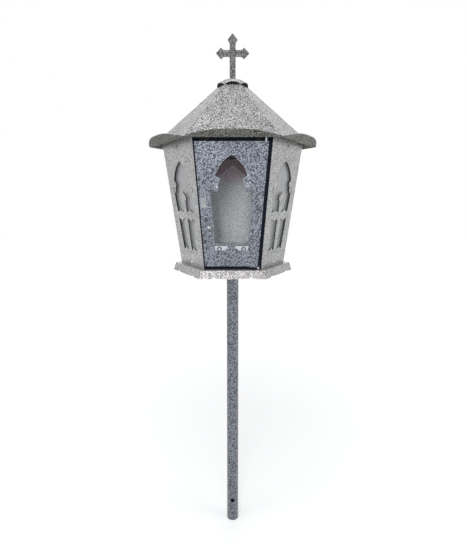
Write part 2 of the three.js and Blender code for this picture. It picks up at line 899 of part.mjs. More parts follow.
// One face of a petal roof for the front, between its seams. Its profile runs in the
// plane of (distance from the axis, height), with the bend line at the eave.
function roofProfile(topX, topZ, eaveX, petal, lift, bend, sheet) {
  const eave = new THREE.Vector2(eaveX, 0);
  const top = new THREE.Vector2(topX, topZ);
  const tip = new THREE.Vector2(eaveX + petal * Math.cos(lift), petal * Math.sin(lift));
  const offsetRun = (radius, offset) => {
    const down = eave.clone().sub(top).normalize();
    const up = tip.clone().sub(eave).normalize();
    const turn = Math.acos(THREE.MathUtils.clamp(down.dot(up), -1, 1));
    const setback = (radius + offset) * Math.tan(turn / 2);
    const vertex = offset / Math.cos(turn / 2);
    const below = down.clone().sub(up).normalize();
    const corner = eave.clone().addScaledVector(below, vertex);
    const side = new THREE.Vector2(down.y, -down.x);
    const run = [top.clone().addScaledVector(side, offset)];
    const start = corner.clone().addScaledVector(down, -setback);
    const centre = start.clone().addScaledVector(side, -(radius + offset));
    for (let i = 0; i <= curveSteps; i++) {
      const arm = side.clone().rotateAround(new THREE.Vector2(), (turn * i) / curveSteps);
      run.push(centre.clone().addScaledVector(arm, radius + offset));
    }
    const tipSide = new THREE.Vector2(up.y, -up.x);
    run.push(tip.clone().addScaledVector(tipSide, offset));
    return run;
  };
  return [...offsetRun(bend, 0), ...offsetRun(bend, sheet).reverse()];
}

// Plan outline of a roof face: a sector between two seams, closed by a petal that is
// straight in its middle and falls away in a curve to its reach at the seams.
function petalPlan(eaveX, reach, seamReach, middleHalf, gap) {
  const half = (eaveX + seamReach) * Math.tan(30 * degree);
  const fall = (u) => (reach - seamReach) * (Math.max(u - middleHalf, 0) / (half - middleHalf)) ** 2;
  const seamShift = gap / 2 / cos30;
  const points = [new THREE.Vector2(0, -seamShift / Math.tan(30 * degree))];
  const outer = half - seamShift;
  for (let i = -petalSteps; i <= petalSteps; i++) {
    const u = (outer * i) / petalSteps;
    points.push(new THREE.Vector2(u, -eaveX - reach + fall(Math.abs(u))));
  }
  return points;
}

// Sheet of one roof face: its profile drawn out along the eave, cut to the plan outline.
function petalFace(profile, plan) {
  const along = new THREE.Matrix4().makeBasis(
    new THREE.Vector3(0, -1, 0),
    new THREE.Vector3(0, 0, 1),
    new THREE.Vector3(-1, 0, 0),
  );
  const reach = eaveRadius;
  const strip = slab(new THREE.Shape(profile), -reach, reach, along);
  const heights = profile.map((point) => point.y);
  return strip.intersect(loft(plan, plan, Math.min(...heights) - 5, Math.max(...heights) + 5));
}

function roofFace() {
  const lift = petalLift * degree;
  const top = roofOpeningRadius * cos30;
  const rise = roofHeight(top) - eaveHeight;
  const petal = petalLength + pastEnd;
  const profile = roofProfile(top, rise, eaveApothem, petal, lift, eaveBendRadius, roofSheet);
  const reach = petalLength * Math.cos(lift);
  const plan = petalPlan(eaveApothem, reach, petalSeamReach, petalMiddleHalf, seamGap);
  return petalFace(profile, plan).translate([0, 0, eaveHeight]);
}

// Cap: six small petal faces and a flat top in one pressing, lowered until it meets the roof.
const capEaveApothem = capEaveRadius * cos30;
const capProfile = roofProfile(
  capTopRadius * cos30,
  capHeight,
  capEaveApothem,
  capPetalLength + pastEnd,
  capPetalLift * degree,
  capBendRadius,
  capSheet,
);
const capLift = Math.max(...capProfile.map((point) => roofHeight(point.x) - point.y));
const capEaveHeight = capLift + seatGap / Math.cos(pitch);
const capTop = capEaveHeight + capHeight;

function roofCap() {
  const reach = capPetalLength * Math.cos(capPetalLift * degree);
  const plan = petalPlan(capEaveApothem, reach, capPetalSeamReach, capPetalMiddleHalf, -capFaceLap);
  const face = petalFace(capProfile, plan);
  const faces = Array.from({ length: 6 }, (_, i) => face.rotate([0, 0, 60 * i]));
  const topApothem = capTopRadius * cos30;
  const lid = loft(evenHexagon(topApothem), evenHexagon(topApothem), capHeight - capSheet, capHeight);
  const slot = slab(tangShape(seatGap), -crossSheet / 2 - seatGap, crossSheet / 2 + seatGap, crossFrame());
  return joined([...faces, lid]).translate([0, 0, capEaveHeight]).subtract(slot);
}

// The cross stands in the X-Z plane on the cap, its tang through the cap's slot.
const crossFrame = () => new THREE.Matrix4().makeRotationX(90 * degree).setPosition(0, 0, capTop + seatGap);

function tangShape(margin) {
  const half = tangWidth / 2 + margin;
  const foot = -capSheet - tangLength;
  return polygon([
    [-half, foot],
    [half, foot],
    [half, 3],
    [-half, 3],
  ]);
}

function crossFinial() {
  const stem = crossStemWidth / 2;
  const armTop = crossArmAboveFoot + crossArmHeight / 2;
  const armFoot = crossArmAboveFoot - crossArmHeight / 2;
  const slope = sideLozengeHalf / (crossArmReach - sideLozengePlace);
  const join = sideLozengePlace - (sideLozengeHalf - crossArmHeight / 2) / slope;
  const topWidest = crossHeight - topLozengePoint;
  const topJoin = topWidest - (topLozengeHalf - stem) * 1.6;
  const right = [
    [stem, armFoot],
    [join, armFoot],
    [sideLozengePlace, crossArmAboveFoot - sideLozengeHalf],
    [crossArmReach, crossArmAboveFoot],
    [sideLozengePlace, crossArmAboveFoot + sideLozengeHalf],
    [join, armTop],
    [stem, armTop],
    [stem, topJoin],
    [topLozengeHalf, topWidest],
  ];
  const left = [...right].reverse().map(([x, y]) => [-x, y]);
  const outline = [[stem, 0], ...right, [0, crossHeight], ...left, [-stem, 0]];
  const plate = roundedPolygon(outline, crossCornerRadius);
  const frame = crossFrame();
  const body = slab(plate, -crossSheet / 2, crossSheet / 2, frame);
  return body.add(slab(tangShape(0), -crossSheet / 2, crossSheet / 2, frame));
}

// Door, in the frame of the front face.
const doorShift = (doorLatchGap - doorHingeGap) / 2;

function doorBand(vFrom, vTo, margin) {
  return faceBand(vFrom, vTo, doorLatchGap + margin, doorHingeGap + margin);
}

// The hinge axis: its place along the face at a height, and the frame along it.
const hingeFoot = new THREE.Vector3(faceHalf(0) - hingeFootInset, 0, -hingeDepth);
const hingeHead = new THREE.Vector3(
  faceHalf(lintelHeight) - hingeHeadInset,
  lintelHeight,
  -hingeDepth,
);
const hingeAxis = hingeHead.clone().sub(hingeFoot).normalize();
const hingeSpan = hingeHead.distanceTo(hingeFoot);
const hingeAlong = (height) => (height / lintelHeight) * hingeSpan;

function hingeFrame() {
  const turn = new THREE.Quaternion().setFromUnitVectors(new THREE.Vector3(0, 0, 1), hingeAxis);
  return new THREE.Matrix4().compose(hingeFoot, turn, new THREE.Vector3(1, 1, 1));
}

// A bore through the lintel's shelf, in the part's own frame.
function hingeBore(radius) {
  const frame = faceMatrix(0).multiply(hingeFrame());
  return bar(radius, hingeAlong(doorHead), hingeSpan + 10, pinSides, frame);
}

// The door's window, as the solid that is cut out of the leaf.
function doorTracery() {
  const cut = (shape) => slab(shape, -cutDepth, cutDepth);
  const arch = pointedArch(
    doorArchApex,
    doorArchSpring,
    doorArchHalf,
    doorArchBow,
    doorArchSpring - archReturn,
    doorArchHalf - doorArchTuck,
  );
  const neck = polygon([
    [-doorNeckHalf, doorShaftTop - 1],
    [doorNeckHalf, doorShaftTop - 1],
    [doorNeckHalf, doorArchSpring],
    [-doorNeckHalf, doorArchSpring],
  ]);
  const shaft = polygon([
    [-doorShaftFootHalf, doorShaftFoot],
    [doorShaftFootHalf, doorShaftFoot],
    [doorShaftTopHalf, doorShaftTop],
    [-doorShaftTopHalf, doorShaftTop],
  ]);
  const ringHeight = doorShaftFoot + fleurRingRise;
  const kept = [
    fleurPetal(),
    ...bothSides((side) => disc(side * doorLobePlace, doorLobeHeight, doorLobeRadius)),
    ...bothSides((side) => disc(side * doorScrollPlace, doorScrollHeight, doorScrollRadius)),
    ...bothSides((side) => disc(side * fleurRingPlace, ringHeight, fleurRingRadius + fleurRingBand)),
    ...bothSides((side) => disc(side * fleurCurlPlace, doorShaftFoot, fleurCurlRadius)),
  ];
  const slits = [
    ...bothSides((side) =>
      mirroredSlit(
        side,
        doorScrollPlace,
        doorScrollHeight,
        doorScrollRadius,
        doorSlitWidth,
        doorSlitFrom,
        doorSlitTo,
      ),
    ),
    ...bothSides((side) => disc(side * fleurRingPlace, ringHeight, fleurRingRadius)),
    ...bothSides((side) =>
      disc(side * fleurPiercingPlace, doorShaftFoot - fleurPiercingDrop, fleurPiercingRadius, piercingSides),
    ),
  ];
  const open = joined([arch, neck, shaft].map(cut));
  return joined([cutFrom(open, kept.map(cut)), ...slits.map(cut)]).translate([doorShift, 0, 0]);
}

// The pointed petal in the middle of the window's lower edge.
function fleurPetal() {
  const foot = doorShaftFoot - 1;
  const shape = new THREE.Shape();
  shape.moveTo(-fleurHalf * 0.45, foot);
  shape.lineTo(fleurHalf * 0.45, foot);
  shape.quadraticCurveTo(fleurHalf * 1.6, doorShaftFoot + fleurTip * 0.45, 0, doorShaftFoot + fleurTip);
  shape.quadraticCurveTo(-fleurHalf * 1.6, doorShaftFoot + fleurTip * 0.45, -fleurHalf * 0.45, foot);
  return shape;
}

const latchPlace = -faceHalf(latchHeight) + latchInset;
const clipPlace = doorShift - doorGlassHalf(clipHeight);

// Half the width of the door's glass at a height: the shaft's with a lap.
function doorGlassHalf(height) {
  const share = (height - doorShaftFoot) / (doorShaftTop - doorShaftFoot);
  return doorShaftFootHalf + share * (doorShaftTopHalf - doorShaftFootHalf) + doorGlassLap;
}

const clipRivetPlace = clipPlace - seatGap - ledgeSheet - rivetTailRadius;

function doorLeaf() {
  const pan = slab(doorBand(doorFootHeight, doorHead, 0), -doorReturn, 0);
  const hollow = slab(
    doorBand(doorFootHeight + doorSheet, doorHead - doorSheet, doorSheet),
    -doorReturn - 1,
    -doorSheet,
  );
  const pinBore = bar(
    pinRadius + runningGap,
    hingeAlong(doorHead - pinEngagement - 1),
    hingeSpan + 10,
    pinSides,
    hingeFrame(),
  );
  return cutFrom(pan.subtract(hollow), [
    doorTracery(),
    pinBore,
    slab(disc(latchPlace, latchHeight, spindleRadius + runningGap, pinSides), -cutDepth, cutDepth),
    rivetHole(clipRivetPlace, clipHeight),
  ]);
}

const doorGlassFront = -doorSheet - seatGap;
const doorGlassBack = doorGlassFront - glassThickness;

function doorGlass() {
  const top = doorArchApex + doorGlassLap;
  const wide = doorShaftTop + doorScrollRadius;
  const outline = polygon([
    [doorShift - doorGlassHalf(doorGlassSill), doorGlassSill],
    [doorShift + doorGlassHalf(doorGlassSill), doorGlassSill],
    [doorShift + doorGlassHalf(wide), wide],
    [doorShift + doorGlassHalf(wide), top],
    [doorShift - doorGlassHalf(wide), top],
    [doorShift - doorGlassHalf(wide), wide],
  ]);
  return slab(outline, doorGlassBack, doorGlassFront);
}

// Shelf that the door's glass stands on, with a lip behind the glass.
function doorGlassLedge() {
  const seat = doorGlassSill - seatGap;
  const back = doorGlassBack - seatGap;
  const profile = polygon([
    [doorGlassFront, ledgeFoot],
    [back - ledgeSheet, ledgeFoot],
    [back - ledgeSheet, seat + ledgeLip],
    [back, seat + ledgeLip],
    [back, seat],
    [doorGlassFront, seat],
  ]);
  const along = new THREE.Matrix4().makeBasis(
    new THREE.Vector3(0, 0, 1),
    new THREE.Vector3(0, 1, 0),
    new THREE.Vector3(-1, 0, 0),
  );
  along.setPosition(doorShift, 0, 0);
  return slab(profile, -ledgeHalf, ledgeHalf, along);
}

// Stepped clip, riveted beside the door's glass and reaching over its edge.
function doorGlassClip() {
  const near = clipPlace - seatGap;
  const top = doorGlassFront;
  const under = doorGlassBack - seatGap;
  const outline = [
    [near - ledgeSheet - clipFoot, top],
    [near, top],
    [near, under],
    [near + clipReach, under],
    [near + clipReach, under - ledgeSheet],
    [near - ledgeSheet, under - ledgeSheet],
    [near - ledgeSheet, top - ledgeSheet],
    [near - ledgeSheet - clipFoot, top - ledgeSheet],
  ];
  const along = new THREE.Matrix4().makeBasis(
    new THREE.Vector3(1, 0, 0),
    new THREE.Vector3(0, 0, 1),
    new THREE.Vector3(0, -1, 0),
  );
  along.setPosition(0, clipHeight, 0);
  const strip = slab(polygon(outline), -clipWidth / 2, clipWidth / 2, along);
  return strip.subtract(rivetHole(clipRivetPlace, clipHeight));
}

// Upper hinge pin: welded in the lintel's shelf, down into the door's upper return.
function hingePinTop() {
  const foot = hingeAlong(doorHead - pinEngagement);
  const top = hingeSpan + collarSheet / Math.cos(tilt) + pinStandProud;
  return bar(pinRadius, foot, top, pinSides, hingeFrame());
}

// Lower hinge pin: a stud that stands on the tray, with a shoulder under the door's lug.
const lugTop = doorFootHeight - seatGap;
const lugFoot = lugTop - lugThickness;

function hingePinFoot() {
  const foot = pinShoulderRadius * Math.sin(tilt) + seatGap / 2;
  const shoulder = hingeAlong(lugFoot - runningGap) - pinShoulderRadius * hingeAxis.x;
  return turned(
    [
      [0, foot],
      [pinShoulderRadius, foot],
      [pinShoulderRadius, shoulder],
      [pinRadius, shoulder],
      [pinRadius, hingeAlong(lugTop)],
      [0, hingeAlong(lugTop)],
    ],
    pinSides,
    hingeFrame(),
  );
}

// Lug under the door's lower return that turns on the lower pin.
function hingeLug() {
  const centre = hingeFoot.x + (hingeHead.x - hingeFoot.x) * (lugFoot / lintelHeight);
  const shape = new THREE.Shape();
  shape.moveTo(centre - lugLength, hingeDepth - lugRadius);
  shape.lineTo(centre, hingeDepth - lugRadius);
  shape.absarc(centre, hingeDepth, lugRadius, -90 * degree, 90 * degree, false);
  shape.lineTo(centre - lugLength, hingeDepth + lugRadius);
  const flat = new THREE.Matrix4().makeRotationX(-90 * degree).setPosition(0, lugFoot, 0);
  const plate = slab(shape, 0, lugThickness, flat);
  return plate.subtract(bar(pinRadius + runningGap, 0, hingeAlong(lugTop) + pastEnd, pinSides, hingeFrame()));
}

// Latch: a lobed rosette with a hanging tab outside, a spindle and a cam inside.
function latchKnob() {
  const foot = seatGap;
  const outline = new THREE.Shape();
  const steps = rosetteLobeCount * 4;
  for (let i = 0; i < steps; i++) {
    const angle = (2 * Math.PI * i) / steps;
    const swell = rosetteLobeDepth * Math.cos(rosetteLobeCount * angle);
    const x = (rosetteHalfWidth + swell) * Math.cos(angle);
    const y = (rosetteHalfHeight + swell) * Math.sin(angle);
    if (i === 0) {
      outline.moveTo(x, y);
    } else {
      outline.lineTo(x, y);
    }
  }
  const tab = new THREE.Shape();
  tab.moveTo(-tabWidth / 2, 0);
  tab.lineTo(-tabWidth / 2, -tabLength + tabWidth / 2);
  tab.absarc(0, -tabLength + tabWidth / 2, tabWidth / 2, Math.PI, 2 * Math.PI, false);
  tab.lineTo(tabWidth / 2, 0);
  return slab(outline, foot, foot + rosetteThickness).add(slab(tab, foot, foot + tabThickness));
}

const camFront = -(jambBack + camClearance);
const squareShape = (half) =>
  polygon([
    [-half, -half],
    [half, -half],
    [half, half],
    [-half, half],
  ]);

function latchSpindle() {
  const round = bar(spindleRadius, camFront + seatGap, 0, pinSides);
  const square = squareShape(spindleSquare / 2);
  return round.add(slab(square, camFront - camThickness - spindleTail, camFront + pastEnd));
}

function latchCam() {
  const half = camWidth / 2;
  const shape = new THREE.Shape();
  shape.absarc(0, 0, half, Math.PI, 2 * Math.PI, false);
  shape.lineTo(half, camReach - half);
  shape.absarc(0, camReach - half, half, 0, Math.PI, false);
  const hole = slab(
    squareShape(spindleSquare / 2 + seatGap),
    camFront - camThickness - pastEnd,
    camFront + pastEnd,
  );
  return slab(shape, camFront - camThickness, camFront).subtract(hole);
}

// Assembly
const lantern = new THREE.Group();

const base = new THREE.Group();
base.add(meshFrom("pole_tube", poleTube(), polePaint));
base.add(meshFrom("pole_flange", poleFlange(), polePaint));
for (let i = 0; i < boltCount; i++) {
  base.add(meshFrom(`flange_bolt_${i + 1}`, flangeBolt(i), bareSteel));
  base.add(meshFrom(`flange_nut_${i + 1}`, flangeNut(i), bareSteel));
}
base.add(meshFrom("base_tray", baseTray(), palePaint));
base.add(meshFrom("base_upstand", baseUpstand(), darkPaint));
lantern.add(base);

const panelNames = ["", "front_right", "rear_right", "rear", "rear_left", "front_left"];
for (const face of rivetedFaces) {
  lantern.add(meshFrom(`panel_${panelNames[face]}`, housePanel(face), palePaint));
  const group = faceGroup(face);
  const grip = houseSheet + seatGap + collarSheet;
  group.add(meshFrom(`rivet_foot_${face}`, rivet(0, footRivetHeight, grip), bareSteel));
  group.add(meshFrom(`rivet_head_${face}`, rivet(0, headRivetHeight, grip), bareSteel));
  if (windowFaces.includes(face)) {
    group.add(meshFrom(`glass_${panelNames[face]}`, sideGlass(), clearGlass));
    group.add(meshFrom(`glass_frame_${panelNames[face]}`, glazingFrame(), darkPaint));
  }
  lantern.add(group);
}

lantern.add(meshFrom("door_stop_left", doorStop(unturned), darkPaint));
lantern.add(meshFrom("door_stop_right", doorStop(mirrored), darkPaint));

const roof = new THREE.Group();
roof.add(meshFrom("roof_collar", roofCollar(), darkPaint));
const roofNames = ["front", "front_right", "rear_right", "rear", "rear_left", "front_left"];
roofNames.forEach((name, i) => {
  const face = meshFrom(`roof_panel_${name}`, roofFace(), palePaint);
  face.rotation.z = i * 60 * degree;
  roof.add(face);
});
roof.add(meshFrom("roof_cap", roofCap(), palePaint));
roof.add(meshFrom("cross_finial", crossFinial(), crossPaint));
lantern.add(roof);

const front = faceGroup(0);
front.add(meshFrom("hinge_pin_top", hingePinTop(), bareSteel));
front.add(meshFrom("hinge_pin_foot", hingePinFoot(), bareSteel));
const door = new THREE.Group();
door.add(meshFrom("door_leaf", doorLeaf(), doorPaint));
door.add(meshFrom("door_glass", doorGlass(), clearGlass));
door.add(meshFrom("door_glass_ledge", doorGlassLedge(), whiteStrip));
door.add(meshFrom("door_glass_clip", doorGlassClip(), bareSteel));
const clipGrip = doorSheet + seatGap + ledgeSheet;
door.add(meshFrom("door_rivet", rivet(clipRivetPlace, clipHeight, clipGrip), bareSteel));
door.add(meshFrom("hinge_lug", hingeLug(), doorPaint));
const latch = new THREE.Group();
latch.position.set(latchPlace, latchHeight, 0);
latch.add(meshFrom("latch_knob", latchKnob(), doorPaint));
latch.add(meshFrom("latch_spindle", latchSpindle(), bareSteel));
latch.add(meshFrom("latch_cam", latchCam(), bareSteel));
door.add(latch);
front.add(door);
lantern.add(front);

const place = (point) => point.clone().applyMatrix4(faceMatrix(0)).toArray().map((v) => v.toFixed(3));
console.log("hinge foot", place(hingeFoot), "hinge head", place(hingeHead));
console.log("latch centre", place(new THREE.Vector3(latchPlace, latchHeight, 0)));
console.log("cap top", capTop.toFixed(2), "house top", houseTop.toFixed(2));

export default lantern;
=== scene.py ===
# %% [markdown]
# # A grave lantern on a pole
# A six-sided house of painted sheet steel, made to hold a candle, stands on a round tube.
# Its solids are already modelled to size and packed. Here each of them gets rounded edges,
# a finish and the small things that solids leave out, such as weld beads.

import json
import math

import bmesh
import bpy
from mathutils import Matrix, Vector
from mathutils.bvhtree import BVHTree


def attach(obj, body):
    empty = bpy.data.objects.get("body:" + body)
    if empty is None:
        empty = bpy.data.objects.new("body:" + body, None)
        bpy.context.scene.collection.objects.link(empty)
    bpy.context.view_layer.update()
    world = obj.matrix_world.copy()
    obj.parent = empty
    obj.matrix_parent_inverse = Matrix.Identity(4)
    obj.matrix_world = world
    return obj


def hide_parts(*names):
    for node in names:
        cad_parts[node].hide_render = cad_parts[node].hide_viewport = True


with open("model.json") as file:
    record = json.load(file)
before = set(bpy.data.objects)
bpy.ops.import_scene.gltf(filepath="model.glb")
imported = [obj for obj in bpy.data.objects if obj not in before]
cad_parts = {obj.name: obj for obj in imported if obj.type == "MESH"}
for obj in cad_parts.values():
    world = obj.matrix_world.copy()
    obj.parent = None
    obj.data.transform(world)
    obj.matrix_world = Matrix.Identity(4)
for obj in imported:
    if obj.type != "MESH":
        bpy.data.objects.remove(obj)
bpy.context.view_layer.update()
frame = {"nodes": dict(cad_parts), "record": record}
nodes = frame["nodes"]
MM = 0.001
UP = Vector((0, 0, 1))

# %% [markdown]
# ## Where the camera stands
# The picture was taken from a little below the eaves, close enough that the roof's petals
# open up. Perspective depends only on where the camera stands, so its place comes first
# and the focal length follows. The picture is 467 by 550, so the sensor is fitted to its
# long side, and a small shift puts the middle of the view where it was.

# %% The camera
bpy.context.scene.view_settings.view_transform = "Standard"
PICTURE_HEIGHT = 550
FOCAL_PIXELS = 408
SENSOR = 36
CAMERA_PLACE = Vector((0, -0.853, 0.7227))
CAMERA_PITCH = 7.2
VIEW_SHIFT = (0.0016, -0.045)

camera_data = bpy.data.cameras.new("camera")
camera_data.sensor_fit = "VERTICAL"
camera_data.sensor_height = SENSOR
camera_data.sensor_width = SENSOR
camera_data.lens = FOCAL_PIXELS / PICTURE_HEIGHT * SENSOR
camera_data.shift_x, camera_data.shift_y = VIEW_SHIFT
camera_data.clip_start = 0.01
camera = bpy.data.objects.new("camera", camera_data)
camera.location = CAMERA_PLACE
camera.rotation_euler = (math.radians(90 - CAMERA_PITCH), 0, 0)
bpy.context.scene.collection.objects.link(camera)
bpy.context.scene.camera = camera
print("lens:", round(camera_data.lens, 2))

# %% [markdown]
# ## Light like a shop's photo tent
# Pale cloth on all sides gives light without hard shadows. One lamp stands in for each of
# its walls and one for its roof. The lamp behind the camera is small, so that the enamel's
# dents still show, and the one behind the lantern is weak. The world fills the rest. Paint
# with metal flakes in it mirrors what it faces, so the sides of the house, which face the
# walls, come out lighter than the door.

# %% The lamps
LAMP_TARGET = Vector((0, 0, 0.72))


def soft_lamp(name, place, size, watts):
    data = bpy.data.lights.new(name, "AREA")
    data.shape = "SQUARE"
    data.size = size
    data.energy = watts
    lamp = bpy.data.objects.new(name, data)
    lamp.location = place
    lamp.rotation_euler = (LAMP_TARGET - Vector(place)).to_track_quat("-Z", "Y").to_euler()
    bpy.context.scene.collection.objects.link(lamp)


soft_lamp("lamp_left", (-1.1, -0.6, 1.35), 0.8, 4.5)
soft_lamp("lamp_right", (1.9, -0.7, 0.9), 1.3, 11)
soft_lamp("lamp_top", (-0.2, -1.2, 2.6), 1.2, 12)
soft_lamp("lamp_front", (-0.3, -2.3, 1.08), 0.4, 12)
soft_lamp("lamp_rear", (0.08, 2.0, 1.6), 1.3, 4)
print("lamps:", len(bpy.data.lights))

# %% [markdown]
# ## Shaders as code
# The world, the floor and every finish are small trees of shader nodes. Helpers take up
# what repeats: they add a node, type in its fixed values and link the rest. They come
# where they are first needed, and these are the ones for the world.

# %% Helpers for shader nodes


def fill_in(tree, node, inputs):
    """Gives each input of a node a fixed value or the socket that feeds it."""
    for name, value in inputs.items():
        if isinstance(value, bpy.types.NodeSocket):
            tree.links.new(value, node.inputs[name])
        else:
            node.inputs[name].default_value = value


def add(tree, kind, inputs, **settings):
    """A new shader node with its settings and inputs."""
    node = tree.nodes.new("ShaderNode" + kind)
    for setting, value in settings.items():
        setattr(node, setting, value)
    fill_in(tree, node, inputs)
    return node


def maths(tree, operation, *values):
    """The result of an operation on numbers."""
    return add(tree, "Math", dict(enumerate(values)), operation=operation).outputs[0]


def seen_directly(tree):
    """1 for a ray that comes from the camera, a mirror or a pane of glass."""
    path = add(tree, "LightPath", {})
    total = path.outputs["Is Camera Ray"]
    for kind in ("Is Glossy Ray", "Is Transmission Ray"):
        total = maths(tree, "MAXIMUM", total, path.outputs[kind])
    return total


# %% [markdown]
# ## Light from all round
# The cloth's own light is weak and even, and the world gives it. Panes and bare metal
# mirror what stands round them, which is white cloth. So a ray that sees the world directly
# finds full white, and the lantern still gets only the weaker light.

# %% The world
WORLD_LIGHT = 0.5
world = bpy.data.worlds.new("tent")
bpy.context.scene.world = world
world.use_nodes = True
tree = world.node_tree
tree.nodes.clear()
fill = add(tree, "Background", {"Color": (0.96, 0.98, 1, 1), "Strength": WORLD_LIGHT})
white = add(tree, "Background", {"Color": (1, 1, 1, 1), "Strength": 1})
either = add(
    tree, "MixShader", {0: seen_directly(tree), 1: fill.outputs[0], 2: white.outputs[0]}
)
add(tree, "OutputWorld", {"Surface": either.outputs[0]})
print("world light:", WORLD_LIGHT)

# %% [markdown]
# ## A pale floor that keeps the shadow
# The floor is matt. Seen directly or in a mirror it also glows just enough to come out
# white. The lamps reach the far floor less, so the glow rises with distance. Near the foot
# it is weak, so the shadow stays.

# %% The floor
FLOOR_HALF = 6
FLOOR_TONE = 0.8
GLOW_NEAR = 0.31
GLOW_FAR = 0.64
GLOW_REACH = 3.0


def vector_maths(tree, operation, *values):
    """The result of an operation on vectors, which is a number for a length or distance."""
    node = add(tree, "VectorMath", dict(enumerate(values)), operation=operation)
    return node.outputs["Value" if operation in ("LENGTH", "DISTANCE") else "Vector"]


def remap(tree, value, source, target=(0, 1), **settings):
    """Maps a value from one range to another and stops at its ends."""
    ends = dict(zip(("From Min", "From Max", "To Min", "To Max"), (*source, *target)))
    return add(tree, "MapRange", {"Value": value, **ends}, **settings).outputs["Result"]


def object_place(tree):
    """Where a point lies on the piece, in metres."""
    return add(tree, "TexCoord", {}).outputs["Object"]


def new_material(name):
    """A material, its node tree and its main shader."""
    material = bpy.data.materials.new(name)
    material.use_nodes = True
    return material, material.node_tree, material.node_tree.nodes["Principled BSDF"]


floor_mesh = bmesh.new()
bmesh.ops.create_grid(floor_mesh, x_segments=1, y_segments=1, size=FLOOR_HALF)
floor_data = bpy.data.meshes.new("floor")
floor_mesh.to_mesh(floor_data)
floor_mesh.free()
floor = bpy.data.objects.new("floor", floor_data)
bpy.context.scene.collection.objects.link(floor)

floor_paint, tree, _ = new_material("floor_paint")
tree.nodes.clear()
distance = vector_maths(tree, "LENGTH", object_place(tree))
rise = remap(tree, distance, (0, GLOW_REACH), (GLOW_NEAR, GLOW_FAR))
dimmed = maths(tree, "MULTIPLY", seen_directly(tree), rise)
matt = add(tree, "BsdfDiffuse", {"Color": (FLOOR_TONE, FLOOR_TONE, FLOOR_TONE, 1)})
glow = add(tree, "Emission", {"Color": (1, 1, 1, 1), "Strength": dimmed})
both = add(tree, "AddShader", {0: matt.outputs[0], 1: glow.outputs[0]})
add(tree, "OutputMaterial", {"Surface": both.outputs[0]})
floor_data.materials.append(floor_paint)
print("floor:", 2 * FLOOR_HALF, "m wide")

# %% [markdown]
# ## Hammered enamel
# The paint pulls together as it dries, into shallow dents a few millimetres across with
# darker veins between them. A smooth Voronoi pattern has such round cells. It is bent a
# little by noise, so that no two are alike. The same pattern drives the colour and the
# bump, so veins are dark and low together. Flecks and wide faint clouds break it up
# further. It all reads Object coordinates: every piece sits at the origin, so the cells
# have one real size all over the lantern.

# %% The enamel
CELL_BEND = 0.6
CELL_SMOOTHNESS = 0.35
DENT_RIM = 0.74
DENT_FLOOR = 0.3
FLECK_SCALE = 1.3
FLECK_RANGE = (0.32, 0.68)
FLECK_SHARE = (0.25, 1)
CLOUD_SCALE = 22
CLOUD_RANGE = (0.3, 0.7)
CLOUD_TONE = (0.9, 1.08)
RELIEF = 0.6
COAT_ROUGHNESS = 0.15


def mix(tree, share, first, second, **settings):
    """Mixes two colours, or multiplies them with a blend type."""
    inputs = {"Factor": share, "A": first, "B": second}
    return add(tree, "Mix", inputs, data_type="RGBA", **settings).outputs["Result"]


def noise(tree, place, scale, detail):
    return add(tree, "TexNoise", {"Vector": place, "Scale": scale, "Detail": detail})


def hammered(name, pale, vein, cell=2.6 * MM, dent=0.35 * MM, metal=0.55, rough=0.36, coat=0.25):
    """Enamel in two tones, with cells of a real size."""
    material, tree, shader = new_material(name)
    place = object_place(tree)

    bend = noise(tree, place, CELL_BEND / cell, 2).outputs["Color"]
    cells = add(
        tree,
        "TexVoronoi",
        {
            "Vector": vector_maths(tree, "MULTIPLY_ADD", bend, (cell, cell, cell), place),
            "Scale": 1 / cell,
            "Smoothness": CELL_SMOOTHNESS,
        },
        feature="SMOOTH_F1",
    ).outputs["Distance"]
    dents = remap(tree, cells, (DENT_RIM, DENT_FLOOR), interpolation_type="SMOOTHSTEP")

    flecks = noise(tree, place, FLECK_SCALE / cell, 3).outputs["Fac"]
    share = maths(tree, "MULTIPLY", dents, remap(tree, flecks, FLECK_RANGE, FLECK_SHARE))
    tone = mix(tree, share, (*vein, 1), (*pale, 1))
    clouds = noise(tree, place, CLOUD_SCALE, 2).outputs["Fac"]
    clouded = remap(tree, clouds, CLOUD_RANGE, CLOUD_TONE)
    bump = add(tree, "Bump", {"Height": dents, "Strength": RELIEF, "Distance": dent})
    fill_in(
        tree,
        shader,
        {
            "Base Color": mix(tree, 1, tone, clouded, blend_type="MULTIPLY"),
            "Normal": bump.outputs["Normal"],
            "Metallic": metal,
            "Roughness": rough,
            "Coat Weight": coat,
            "Coat Roughness": COAT_ROUGHNESS,
        },
    )
    return material


pale_enamel = hammered("pale_enamel", (0.66, 0.665, 0.655), (0.2, 0.2, 0.2))
roof_enamel = hammered(
    "roof_enamel", (0.84, 0.82, 0.83), (0.12, 0.12, 0.125), rough=0.45, coat=0
)
tray_enamel = hammered("tray_enamel", (0.66, 0.65, 0.64), (0.2, 0.19, 0.19))
# Painted shade: a darker, duller copy of the roof enamel for faces that point down.
shaded_under_enamel = hammered(
    "shaded_under_enamel", (0.38, 0.38, 0.345), (0.045, 0.045, 0.04), metal=0.2, rough=0.65, coat=0
)
door_enamel = hammered(
    "door_enamel", (0.365, 0.395, 0.455), (0.05, 0.057, 0.075), cell=2.8 * MM
)
# Painted highlight: a near-white enamel for the rounded cut edges of the door and the knob.
highlight_edge_enamel = hammered("highlight_edge_enamel", (0.95, 0.97, 1), (0.7, 0.73, 0.78))
latch_enamel = hammered("latch_enamel", (0.4, 0.43, 0.48), (0.06, 0.07, 0.09), cell=1.6 * MM)
tab_enamel = hammered("tab_enamel", (0.42, 0.45, 0.46), (0.2, 0.22, 0.22), cell=1.6 * MM)
# Painted light: the inside of the walls is near white, paler than the outside, for the dim light
# inside.
lightened_inside_enamel = hammered(
    "lightened_inside_enamel", (0.97, 0.99, 1), (0.45, 0.49, 0.53), dent=0.1 * MM, metal=0.1, rough=0.5
)
pole_enamel = hammered("pole_enamel", (0.36, 0.39, 0.43), (0.05, 0.055, 0.07))
